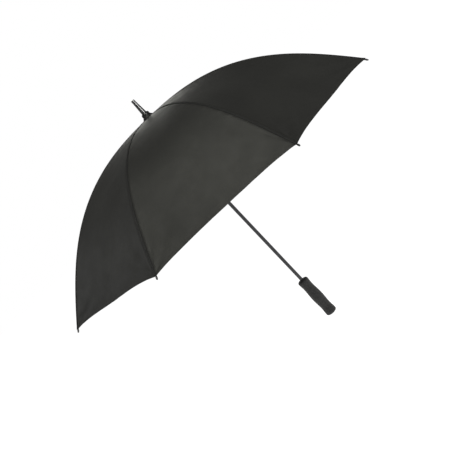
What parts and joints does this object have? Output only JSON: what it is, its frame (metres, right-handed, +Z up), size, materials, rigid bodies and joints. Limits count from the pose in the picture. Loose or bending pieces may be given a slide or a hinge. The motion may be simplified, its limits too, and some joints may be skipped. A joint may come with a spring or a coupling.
{
  "type": "golf umbrella",
  "caption": "Large black umbrella with a ribbed dome canopy, sliding runner frame, slim shaft, tapered ferrule and contoured foam hand grip.",
  "frame": {"origin": "middle of the hand grip, on the shaft's axis", "axes": "+Z up the shaft from the grip to the ferrule; a gore's middle line points to -Y and the catches face +Y"},
  "size_m": [1.2052, 1.2052, 0.9885],
  "materials": {
    "black_metal": "satin",
    "gloss_black": "gloss",
    "rib_steel": "satin",
    "bright_steel": "satin",
    "black_plastic": "matte",
    "foam": "matte",
    "cloth": "matte"
  },
  "bodies": {
    "shaft_group": {"shaft": "black_metal", "ferrule": "gloss_black", "top_cap": "gloss_black", "rosette": "black_plastic", "top_notch": "black_plastic", "notch_wire": "bright_steel", "stop_pin": "bright_steel", "grip": "foam", "handle_core": "black_plastic"},
    "runner": {"runner": "black_plastic"},
    "top_catch": {"top_catch": "bright_steel"},
    "bottom_catch": {"bottom_catch": "bright_steel"},
    "rib_inner_1": {"rib_inner_1": "rib_steel", "canopy_inner_1": "cloth"},
    "rib_outer_1": {"rib_outer_1": "rib_steel", "canopy_outer_1": "cloth", "tip_1": "gloss_black"},
    "stretcher_1": {"stretcher_1": "rib_steel"},
    "rib_inner_2": {"rib_inner_2": "rib_steel", "canopy_inner_2": "cloth"},
    "rib_outer_2": {"rib_outer_2": "rib_steel", "canopy_outer_2": "cloth", "tip_2": "gloss_black"},
    "stretcher_2": {"stretcher_2": "rib_steel"},
    "rib_inner_3": {"rib_inner_3": "rib_steel", "canopy_inner_3": "cloth"},
    "rib_outer_3": {"rib_outer_3": "rib_steel", "canopy_outer_3": "cloth", "tip_3": "gloss_black"},
    "stretcher_3": {"stretcher_3": "rib_steel"},
    "rib_inner_4": {"rib_inner_4": "rib_steel", "canopy_inner_4": "cloth"},
    "rib_outer_4": {"rib_outer_4": "rib_steel", "canopy_outer_4": "cloth", "tip_4": "gloss_black"},
    "stretcher_4": {"stretcher_4": "rib_steel"},
    "rib_inner_5": {"rib_inner_5": "rib_steel", "canopy_inner_5": "cloth"},
    "rib_outer_5": {"rib_outer_5": "rib_steel", "canopy_outer_5": "cloth", "tip_5": "gloss_black"},
    "stretcher_5": {"stretcher_5": "rib_steel"},
    "rib_inner_6": {"rib_inner_6": "rib_steel", "canopy_inner_6": "cloth"},
    "rib_outer_6": {"rib_outer_6": "rib_steel", "canopy_outer_6": "cloth", "tip_6": "gloss_black"},
    "stretcher_6": {"stretcher_6": "rib_steel"},
    "rib_inner_7": {"rib_inner_7": "rib_steel", "canopy_inner_7": "cloth"},
    "rib_outer_7": {"rib_outer_7": "rib_steel", "canopy_outer_7": "cloth", "tip_7": "gloss_black"},
    "stretcher_7": {"stretcher_7": "rib_steel"},
    "rib_inner_8": {"rib_inner_8": "rib_steel", "canopy_inner_8": "cloth"},
    "rib_outer_8": {"rib_outer_8": "rib_steel", "canopy_outer_8": "cloth", "tip_8": "gloss_black"},
    "stretcher_8": {"stretcher_8": "rib_steel"}
  },
  "joints": [
    {"name": "runner_slide", "type": "slide", "parent": "shaft_group", "child": "runner", "axis": [0, 0, -1], "range_m": [0, 0.51521]},
    {"name": "top_catch_press", "type": "slide", "parent": "shaft_group", "child": "top_catch", "axis": [0, -1, 0], "range_m": [0, 0.0023], "stiffness_N_per_m": 600, "springref_m": -0.0023},
    {"name": "bottom_catch_press", "type": "slide", "parent": "shaft_group", "child": "bottom_catch", "axis": [0, -1, 0], "range_m": [0, 0.0023], "stiffness_N_per_m": 600, "springref_m": -0.0023},
    {"name": "rib_fold_1", "type": "hinge", "parent": "shaft_group", "child": "rib_inner_1", "pos_m": [0.00455, -0.01099, 0.83123], "axis": [0.9239, 0.3827, 0], "range_deg": [0, 77.62], "deforming": ["canopy_inner_1"]},
    {"name": "rib_flex_1", "type": "hinge", "parent": "rib_inner_1", "child": "rib_outer_1", "pos_m": [0.12781, -0.30856, 0.76879], "axis": [0.9239, 0.3827, 0], "range_deg": [-27.41, 0], "deforming": ["canopy_outer_1"]},
    {"name": "stretcher_fold_1", "type": "hinge", "parent": "rib_inner_1", "child": "stretcher_1", "pos_m": [0.12295, -0.29683, 0.77448], "axis": [0.9239, 0.3827, 0], "range_deg": [-155.22, 0]},
    {"name": "rib_fold_2", "type": "hinge", "parent": "shaft_group", "child": "rib_inner_2", "pos_m": [0.01099, -0.00455, 0.83123], "axis": [0.3827, 0.9239, 0], "range_deg": [0, 77.62], "deforming": ["canopy_inner_2"]},
    {"name": "rib_flex_2", "type": "hinge", "parent": "rib_inner_2", "child": "rib_outer_2", "pos_m": [0.30856, -0.12781, 0.76879], "axis": [0.3827, 0.9239, 0], "range_deg": [-27.41, 0], "deforming": ["canopy_outer_2"]},
    {"name": "stretcher_fold_2", "type": "hinge", "parent": "rib_inner_2", "child": "stretcher_2", "pos_m": [0.29683, -0.12295, 0.77448], "axis": [0.3827, 0.9239, 0], "range_deg": [-155.22, 0]},
    {"name": "rib_fold_3", "type": "hinge", "parent": "shaft_group", "child": "rib_inner_3", "pos_m": [0.01099, 0.00455, 0.83123], "axis": [-0.3827, 0.9239, 0], "range_deg": [0, 77.62], "deforming": ["canopy_inner_3"]},
    {"name": "rib_flex_3", "type": "hinge", "parent": "rib_inner_3", "child": "rib_outer_3", "pos_m": [0.30856, 0.12781, 0.76879], "axis": [-0.3827, 0.9239, 0], "range_deg": [-27.41, 0], "deforming": ["canopy_outer_3"]},
    {"name": "stretcher_fold_3", "type": "hinge", "parent": "rib_inner_3", "child": "stretcher_3", "pos_m": [0.29683, 0.12295, 0.77448], "axis": [-0.3827, 0.9239, 0], "range_deg": [-155.22, 0]},
    {"name": "rib_fold_4", "type": "hinge", "parent": "shaft_group", "child": "rib_inner_4", "pos_m": [0.00455, 0.01099, 0.83123], "axis": [-0.9239, 0.3827, 0], "range_deg": [0, 77.62], "deforming": ["canopy_inner_4"]},
    {"name": "rib_flex_4", "type": "hinge", "parent": "rib_inner_4", "child": "rib_outer_4", "pos_m": [0.12781, 0.30856, 0.76879], "axis": [-0.9239, 0.3827, 0], "range_deg": [-27.41, 0], "deforming": ["canopy_outer_4"]},
    {"name": "stretcher_fold_4", "type": "hinge", "parent": "rib_inner_4", "child": "stretcher_4", "pos_m": [0.12295, 0.29683, 0.77448], "axis": [-0.9239, 0.3827, 0], "range_deg": [-155.22, 0]},
    {"name": "rib_fold_5", "type": "hinge", "parent": "shaft_group", "child": "rib_inner_5", "pos_m": [-0.00455, 0.01099, 0.83123], "axis": [-0.9239, -0.3827, 0], "range_deg": [0, 77.62], "deforming": ["canopy_inner_5"]},
    {"name": "rib_flex_5", "type": "hinge", "parent": "rib_inner_5", "child": "rib_outer_5", "pos_m": [-0.12781, 0.30856, 0.76879], "axis": [-0.9239, -0.3827, 0], "range_deg": [-27.41, 0], "deforming": ["canopy_outer_5"]},
    {"name": "stretcher_fold_5", "type": "hinge", "parent": "rib_inner_5", "child": "stretcher_5", "pos_m": [-0.12295, 0.29683, 0.77448], "axis": [-0.9239, -0.3827, 0], "range_deg": [-155.22, 0]},
    {"name": "rib_fold_6", "type": "hinge", "parent": "shaft_group", "child": "rib_inner_6", "pos_m": [-0.01099, 0.00455, 0.83123], "axis": [-0.3827, -0.9239, 0], "range_deg": [0, 77.62], "deforming": ["canopy_inner_6"]},
    {"name": "rib_flex_6", "type": "hinge", "parent": "rib_inner_6", "child": "rib_outer_6", "pos_m": [-0.30856, 0.12781, 0.76879], "axis": [-0.3827, -0.9239, 0], "range_deg": [-27.41, 0], "deforming": ["canopy_outer_6"]},
    {"name": "stretcher_fold_6", "type": "hinge", "parent": "rib_inner_6", "child": "stretcher_6", "pos_m": [-0.29683, 0.12295, 0.77448], "axis": [-0.3827, -0.9239, 0], "range_deg": [-155.22, 0]},
    {"name": "rib_fold_7", "type": "hinge", "parent": "shaft_group", "child": "rib_inner_7", "pos_m": [-0.01099, -0.00455, 0.83123], "axis": [0.3827, -0.9239, 0], "range_deg": [0, 77.62], "deforming": ["canopy_inner_7"]},
    {"name": "rib_flex_7", "type": "hinge", "parent": "rib_inner_7", "child": "rib_outer_7", "pos_m": [-0.30856, -0.12781, 0.76879], "axis": [0.3827, -0.9239, 0], "range_deg": [-27.41, 0], "deforming": ["canopy_outer_7"]},
    {"name": "stretcher_fold_7", "type": "hinge", "parent": "rib_inner_7", "child": "stretcher_7", "pos_m": [-0.29683, -0.12295, 0.77448], "axis": [0.3827, -0.9239, 0], "range_deg": [-155.22, 0]},
    {"name": "rib_fold_8", "type": "hinge", "parent": "shaft_group", "child": "rib_inner_8", "pos_m": [-0.00455, -0.01099, 0.83123], "axis": [0.9239, -0.3827, 0], "range_deg": [0, 77.62], "deforming": ["canopy_inner_8"]},
    {"name": "rib_flex_8", "type": "hinge", "parent": "rib_inner_8", "child": "rib_outer_8", "pos_m": [-0.12781, -0.30856, 0.76879], "axis": [0.9239, -0.3827, 0], "range_deg": [-27.41, 0], "deforming": ["canopy_outer_8"]},
    {"name": "stretcher_fold_8", "type": "hinge", "parent": "rib_inner_8", "child": "stretcher_8", "pos_m": [-0.12295, -0.29683, 0.77448], "axis": [0.9239, -0.3827, 0], "range_deg": [-155.22, 0]}
  ],
  "couplings": [
    {"joint": "rib_fold_1", "follows": "runner_slide", "rad_per_m": 2.629},
    {"joint": "rib_flex_1", "follows": "runner_slide", "rad_per_m": -0.92813},
    {"joint": "stretcher_fold_1", "follows": "runner_slide", "rad_per_m": -5.258},
    {"joint": "rib_fold_2", "follows": "runner_slide", "rad_per_m": 2.629},
    {"joint": "rib_flex_2", "follows": "runner_slide", "rad_per_m": -0.92813},
    {"joint": "stretcher_fold_2", "follows": "runner_slide", "rad_per_m": -5.258},
    {"joint": "rib_fold_3", "follows": "runner_slide", "rad_per_m": 2.629},
    {"joint": "rib_flex_3", "follows": "runner_slide", "rad_per_m": -0.92813},
    {"joint": "stretcher_fold_3", "follows": "runner_slide", "rad_per_m": -5.258},
    {"joint": "rib_fold_4", "follows": "runner_slide", "rad_per_m": 2.629},
    {"joint": "rib_flex_4", "follows": "runner_slide", "rad_per_m": -0.92813},
    {"joint": "stretcher_fold_4", "follows": "runner_slide", "rad_per_m": -5.258},
    {"joint": "rib_fold_5", "follows": "runner_slide", "rad_per_m": 2.629},
    {"joint": "rib_flex_5", "follows": "runner_slide", "rad_per_m": -0.92813},
    {"joint": "stretcher_fold_5", "follows": "runner_slide", "rad_per_m": -5.258},
    {"joint": "rib_fold_6", "follows": "runner_slide", "rad_per_m": 2.629},
    {"joint": "rib_flex_6", "follows": "runner_slide", "rad_per_m": -0.92813},
    {"joint": "stretcher_fold_6", "follows": "runner_slide", "rad_per_m": -5.258},
    {"joint": "rib_fold_7", "follows": "runner_slide", "rad_per_m": 2.629},
    {"joint": "rib_flex_7", "follows": "runner_slide", "rad_per_m": -0.92813},
    {"joint": "stretcher_fold_7", "follows": "runner_slide", "rad_per_m": -5.258},
    {"joint": "rib_fold_8", "follows": "runner_slide", "rad_per_m": 2.629},
    {"joint": "rib_flex_8", "follows": "runner_slide", "rad_per_m": -0.92813},
    {"joint": "stretcher_fold_8", "follows": "runner_slide", "rad_per_m": -5.258}
  ]
}
